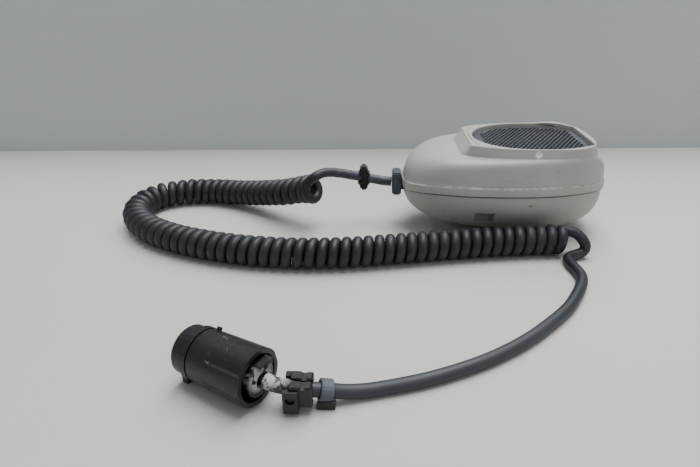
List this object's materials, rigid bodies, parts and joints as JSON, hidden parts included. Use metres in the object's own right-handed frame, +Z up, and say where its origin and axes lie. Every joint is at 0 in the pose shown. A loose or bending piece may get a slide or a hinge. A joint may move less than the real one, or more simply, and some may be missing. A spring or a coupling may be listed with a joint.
{
  "type": "hand microphone",
  "caption": "Palm microphone with a perforated grille on a raised island, side talk bar, hang-up button, curly cord and round screw-ring plug.",
  "frame": {"origin": "centre of the microphone body's footprint, on the surface it lies on; the cord and what is on it are left out of that box", "axes": "+Z up with the grille on top, +X along the body away from the cord end, +Y towards the talk bar"},
  "size_m": [0.2495, 0.1765, 0.0472],
  "materials": {
    "warm_grey_plastic": "worn satin",
    "slate_grille": "satin",
    "slate_rubber": "matte",
    "black_plastic": "satin",
    "cord_jacket": "satin",
    "bright_metal": "zinc plated",
    "gold_contact": "bright",
    "green_board": "satin",
    "black_felt": "matte",
    "blue_sleeve": "gloss"
  },
  "bodies": {
    "microphone": {"front_housing": "warm_grey_plastic", "rear_housing": "warm_grey_plastic", "grille": "slate_grille", "grille_felt": "black_felt", "microphone_capsule": "bright_metal", "capsule_boot": "slate_rubber", "circuit_board": "green_board", "preamp_chip": "black_plastic", "coupling_capacitor": "blue_sleeve", "wire_terminal": "black_plastic", "talk_bar_pin": "bright_metal", "talk_switch": "black_plastic", "hang_up_button": "bright_metal", "hang_up_screw": "bright_metal", "strain_relief_block": "slate_rubber", "cord_inner_end": "cord_jacket", "cord_anchor_bar": "bright_metal", "cord_anchor_screw_1": "bright_metal", "cord_anchor_screw_2": "bright_metal", "wire_bundle": "cord_jacket", "cord_lead": "cord_jacket", "cord_coil": "cord_jacket", "cord_tail": "cord_jacket", "cord_clip": "black_plastic", "cord_band": "slate_rubber", "clamp_foot": "black_plastic", "clamp_jaw_front": "black_plastic", "clamp_jaw_rear": "black_plastic", "plug_body": "black_plastic", "plug_insert": "black_plastic", "plug_wire_core": "slate_rubber", "housing_screw_1": "bright_metal", "housing_screw_2": "bright_metal", "housing_screw_3": "bright_metal", "housing_screw_4": "bright_metal", "plug_contact_1": "gold_contact", "plug_contact_2": "gold_contact", "plug_contact_3": "gold_contact", "plug_contact_4": "gold_contact", "plug_contact_5": "gold_contact", "plug_contact_6": "gold_contact"},
    "talk_bar": {"talk_bar": "slate_rubber", "talk_leaf_spring": "bright_metal"},
    "switch_plunger": {"talk_switch_plunger": "slate_rubber"},
    "coupling_ring": {"coupling_ring": "black_plastic"}
  },
  "joints": [
    {"name": "talk_bar_hinge", "type": "hinge", "parent": "microphone", "child": "talk_bar", "pos_m": [-0.00833, 0.02335, 0.0354], "axis": [0, 0, -1], "range_deg": [0, 3.5], "stiffness_Nm_per_rad": 1.2, "springref_deg": -2.86},
    {"name": "switch_plunger_slide", "type": "slide", "parent": "microphone", "child": "switch_plunger", "axis": [0, -1, 0], "range_m": [0, 0.0016]},
    {"name": "coupling_ring_turn", "type": "hinge", "parent": "microphone", "child": "coupling_ring", "pos_m": [-0.11037, -0.12809, 0.00975], "axis": [-0.8796, 0.4757, 0], "continuous": true}
  ],
  "couplings": [
    {"joint": "switch_plunger_slide", "follows": "talk_bar_hinge", "m_per_rad": 0.025}
  ]
}
